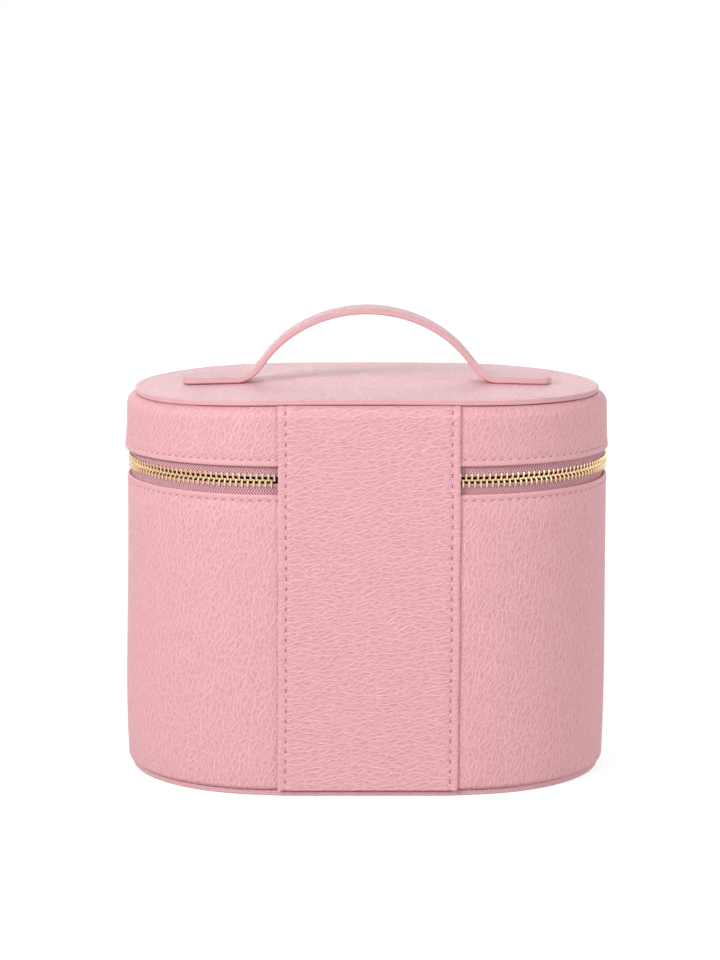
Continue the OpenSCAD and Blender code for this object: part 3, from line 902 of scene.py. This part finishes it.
def up_shoulder(co):
    """Distance up the lid's wall, over its shoulder and in along its top."""
    middle = max(-half_straight, min(half_straight, co.x))
    outward = Vector((co.x - middle, co.y)).length - shoulder_y
    if co.z <= shoulder_z:
        return co.z
    if outward <= 0:
        return shoulder_z + shoulder_r * pi / 2 - outward
    return shoulder_z + shoulder_r * (pi / 2 - Vector((0, 1)).angle(Vector((outward, co.z - shoulder_z))))


def flare(co):
    """How far the lid's rim stands out at the round ends, more on the left."""
    height = min(1, max(0, (co.z - lid_rim) / (shoulder_z - lid_rim)))
    return (flare_left if co.x < 0 else flare_right) * end_share(co.x) * (1 - height) ** 2


def droop(bm):
    """Crowns the lid's top and lets its rim sag at the round ends."""
    for corner in bm.verts:
        climb = min(1, max(0, corner.co.z - lid_rim) / (lid_high.z - lid_rim))
        fall = end_droop * end_share(corner.co.x)
        corner.co.z -= sag(corner.co.x, corner.co.y) * climb + fall * (1 - climb)
    return bm


lid_section = arc(end_r - hem_t / 2 + hem_puff, lid_rim + hem_t / 2, hem_t / 2, -180, 0, 8)
lid_section += [(r, z) for r, z in reversed(stitch_dip(end_r, lid_rim + lid_line, -1))]
lid_section += [(end_r, lid_rim + share * (shoulder_z - lid_rim)) for share in (0.3, 0.5, 0.7, 0.85)]
lid_section += arc(shoulder_y, shoulder_z, shoulder_r, 0, 90, 12)
lid_section += [(end_r - flange_w, lid_high.z), (end_r - flange_w, lid_high.z - leather_t)]
lid_section += arc(shoulder_y, shoulder_z, shoulder_r - leather_t, 90, 0, 6)
lid_section += [(end_r - leather_t, lid_rim + hem_h), (end_r - hem_t, lid_rim + hem_h)]
lid_wrap = droop(push_out(map_round(round_oval(lid_section), up_shoulder), flare))
keep(lid_wrap, "lid_wrap", "lid", "grained_leather", lid_pebble, "lid_leather")
lid_stitches = sew_round(end_r - dip + stitch_lift, lid_rim + lid_line, stitch_tilt)
keep(droop(push_out(lid_stitches, flare)), "lid_stitches", "lid", "grained_leather", sewing_thread)

# ---- Top disc ----
# A slightly crowned board in smooth pink leather, which closes the lid and hides the ends of the wall's
# leather and of the hinge panel. The fold's fine line runs round its edge.

disc_low, disc_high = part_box("lid_disc_leather")
seam_slot = 0.25 * MM
strap_slot = 0.15 * MM
bm = covered_disc(disc_low.z + seam_slot, disc_high.z - strap_slot, disc_high.y, 0.9 * MM)
for corner in bm.verts:
    corner.co.z -= sag(corner.co.x, corner.co.y)
keep(bm, "top_disc", "lid", "smooth_leather", disc_leather, "lid_disc_leather", "lid_disc_board")

# ---- Handle ----
# An arched strap: two faces of smooth leather glued on a springy core, with painted edges.
# Its feet lie flat on the disc, sewn from below through two patches.

strap_half = 84 * MM
strap_w = 20 * MM
strap_t = 2.7 * MM
arch_half = 60 * MM
strap_rise = 31 * MM
bend_r = 14 * MM
strap_shoulder_r = 50 * MM
crown_a = radians(30)
flank_a = radians(51)
strap_corner_r = 5.5 * MM
strap_lift = 0.08 * MM

span_left = arch_half - strap_shoulder_r * (sin(flank_a) - sin(crown_a)) - bend_r * sin(flank_a)
rise_left = strap_rise - strap_shoulder_r * (cos(crown_a) - cos(flank_a)) - bend_r * (1 - cos(flank_a))
crown_det = sin(crown_a) * sin(flank_a) - cos(flank_a) * (1 - cos(crown_a))
crown_r = (span_left * sin(flank_a) - rise_left * cos(flank_a)) / crown_det
crown_middle = Vector((0, strap_rise - crown_r))
shoulder_middle = crown_middle + (crown_r - strap_shoulder_r) * Vector((sin(crown_a), cos(crown_a)))
bend_middle = Vector((arch_half, bend_r))


def strap_stations():
    """Places along the right half of the strap's underside, from the top: point and slope."""
    stations = []
    for middle, radius, first, last, steps in (
        (crown_middle, crown_r, 0, crown_a, 16),
        (shoulder_middle, strap_shoulder_r, crown_a, flank_a, 8),
        (bend_middle, -bend_r, flank_a, 0, 12),
    ):
        for i in range(steps + 1):
            slope = first + (last - first) * i / steps
            stations.append((middle + radius * Vector((sin(slope), cos(slope))), slope))
    foot_l = strap_half - arch_half
    plain = [0.15, 0.35, 0.55, 0.75, 0.89]
    stations += [(Vector((arch_half + share * foot_l, 0)), 0) for share in plain]
    for i in range(7):
        back = strap_corner_r * (1 - sin(pi / 2 * i / 6))
        stations.append((Vector((strap_half - back, 0)), 0))
    return stations


def strap_width(x):
    """Half the strap's width, which the rounded corners of its feet narrow."""
    past = abs(x) - (strap_half - strap_corner_r)
    if past <= 0:
        return strap_w / 2
    return strap_w / 2 - strap_corner_r + sqrt(max(strap_corner_r**2 - past**2, 0))


strap_edge = 0.85 * MM
ply = strap_t / 2
strap_round = arc(0, strap_t - strap_edge, strap_edge, 90, 12, 5)
strap_round += fold_line(strap_edge, ply, 0.18 * MM, 0.01 * MM, 0.05 * MM)
strap_round += arc(0, strap_edge, strap_edge, -12, -90, 5)
inset_shares = (0, 0.3, 0.6, 0.88)
stations = strap_stations()
whole = [(Vector((-point.x, point.y)), -slope) for point, slope in reversed(stations[1:])] + stations
strap_bed = disc_high.z + strap_lift

bm = bmesh.new()
rings = []
for point, slope in whole:
    half_w = strap_width(point.x) - strap_edge
    half_ring = [(share * half_w, strap_t) for share in inset_shares]
    half_ring += [(half_w + out, up) for out, up in strap_round]
    half_ring += [(share * half_w, 0) for share in reversed(inset_shares[1:])]
    around = half_ring + [(0, 0)] + [(-side, up) for side, up in reversed(half_ring[1:])]
    ring = []
    for side, up in around:
        x = point.x + up * sin(slope)
        z = strap_bed + point.y + up * cos(slope) - sag(x)
        ring.append(bm.verts.new((x, side, z)))
    rings.append([bm.edges.new(pair) for pair in zip(ring, ring[1:] + ring[:1])])
for near, far in zip(rings, rings[1:]):
    bmesh.ops.bridge_loops(bm, edges=near + far)
for end in (rings[0], rings[-1]):
    bmesh.ops.contextual_create(bm, geom=end)
bmesh.ops.recalc_face_normals(bm, faces=bm.faces)
strap_leather = smooth_leather("strap_leather", (0.81, 0.45, 0.48, 1), 1.2 * MM)
keep(
    bm, "strap_handle", "lid", "smooth_leather", strap_leather,
    "handle_leather", "handle_core", "handle_underside",
)

# ---- Stiffening boards and foam ----
# Dense board faced with dusty pink paper behind the walls, under the floor and in the lid, with thin
# sheet foam between the wall boards and the leather. Only their edges could ever be seen.

card = Finish("faced_board", {"Roughness": 0.95})
fibre = card.noise(card.place((0.4 * MM, 0.4 * MM, 1.4 * MM)), 1, 3)
faced_board = card.cover(card.mix(fibre, (0.45, 0.30, 0.29, 1), (0.60, 0.42, 0.40, 1)), fibre, 0.08 * MM)
for node in ("base_inner_board", "body_board", "lid_inner_board", "lid_board", "handle_patches"):
    dress(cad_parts[node], faced_board)

sponge = Finish("sheet_foam", {"Roughness": 1.0})
bubble = sponge.edges(sponge.place([0.7 * MM] * 3), 1, 0.0, 0.2)
sheet_foam = sponge.cover(sponge.mix(bubble, (0.74, 0.73, 0.69, 1), (0.88, 0.87, 0.83, 1)), bubble, 0.1 * MM)
foam_t = 0.9 * MM


def standing_band(node, thick, rolled):
    """A band that stands round the oval where a node does, with its edges rolled over."""
    low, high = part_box(node)
    outline = [(high.y - thick, low.z + rolled), (high.y - thick + rolled, low.z), (high.y - rolled, low.z)]
    outline += [(high.y, low.z + rolled), (high.y, high.z - rolled), (high.y - rolled, high.z)]
    outline += [(high.y - thick + rolled, high.z), (high.y - thick, high.z - rolled)]
    return round_oval(outline)


for node, body in (("body_foam", "case_body"), ("lid_foam", "lid")):
    keep(standing_band(node, foam_t, 0.2 * MM), f"{node}_sheet", body, "foam", sheet_foam, node)

# ---- Lining and padded floor ----
# Soft brushed cloth in dusty pink, glued round the inside of the walls and under the lid's roof.
# The floor is a thin cushion of foam in the same cloth, crowned in the middle, that lies on its board.

lining_t = 0.6 * MM
lining = Finish("lining", {"Roughness": 0.9, "Sheen Weight": 0.35, "Sheen Roughness": 0.5})
cloth = lining.along(0).beat(0.55 * MM) + lining.along(1).beat(0.55 * MM) + lining.along(2).beat(0.55 * MM)
nap = lining.noise(lining.place([6 * MM] * 3), 1, 4)
lining_tone = lining.mix(nap, (0.70, 0.48, 0.46, 1), (0.82, 0.62, 0.59, 1))
lining_tone = lining.mix(cloth * 0.25, lining_tone, (0.60, 0.40, 0.39, 1))
lining_cloth = lining.cover(lining_tone, cloth + nap * 2, 0.1 * MM)

for node, body in (("body_lining", "case_body"), ("lid_wall_lining", "lid")):
    keep(standing_band(node, lining_t, 0.25 * MM), f"{node}_cloth", body, "lining", lining_cloth, node)


def soft_plate(node, puff, roll):
    """A plate of padded cloth where a node lies: its face crowned by puff, upwards or downwards, its
    edge rolled over, its back flat."""
    low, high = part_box(node)
    face, back = (high.z, low.z) if puff > 0 else (low.z, high.z)
    reach = high.y
    shares = [0, 0.15, 0.3, 0.45, 0.6, 0.72, 0.82, 0.9, 0.96]
    outline = [(share * (reach - roll), face + puff * (1 - share**2) ** 1.5) for share in shares]
    slope = -1 if puff > 0 else 1
    for turned in (0, pi / 6, pi / 3, pi / 2):
        outline.append((reach - roll * (1 - sin(turned)), face + slope * roll * (1 - cos(turned))))
    outline += [(reach, back), (0.5 * reach, back), (0, back)]
    return round_oval(outline, ring=False)


roof = soft_plate("lid_roof_lining", -0.3 * MM, 0.3 * MM)
keep(roof, "roof_cloth", "lid", "lining", lining_cloth, "lid_roof_lining")
cushion = soft_plate("floor_pad", 1.6 * MM, 1.2 * MM)
floor_cushion = keep(cushion, "floor_cushion", "case_body", "lining", lining_cloth, "floor_pad")

# ---- Zip sliders ----
# Two sliders nose to nose at the middle of the front: cast bodies, wire rings and flat pulls in the
# same pale gold as the teeth, with their sharp edges tumbled round.

for side in ("left", "right"):
    for part, soften in (("slider", 0.22 * MM), ("slider_ring", 0), ("slider_pull", 0.3 * MM)):
        node = f"{part}_{side}"
        bm = bmesh.new()
        bm.from_mesh(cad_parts[node].data)
        bmesh.ops.remove_doubles(bm, verts=bm.verts, dist=1e-6)
        bmesh.ops.dissolve_limit(bm, angle_limit=radians(1), verts=bm.verts, edges=bm.edges)
        if soften:
            sharp = [e for e in bm.edges if e.is_manifold and e.calc_face_angle(0) > radians(35)]
            bmesh.ops.bevel(
                bm, geom=sharp, offset=soften, segments=2, profile=0.5, affect="EDGES", material=-1,
                clamp_overlap=True,
            )
        keep(bm, f"tumbled_{node}", node, "zip_metal", pale_gold, node)
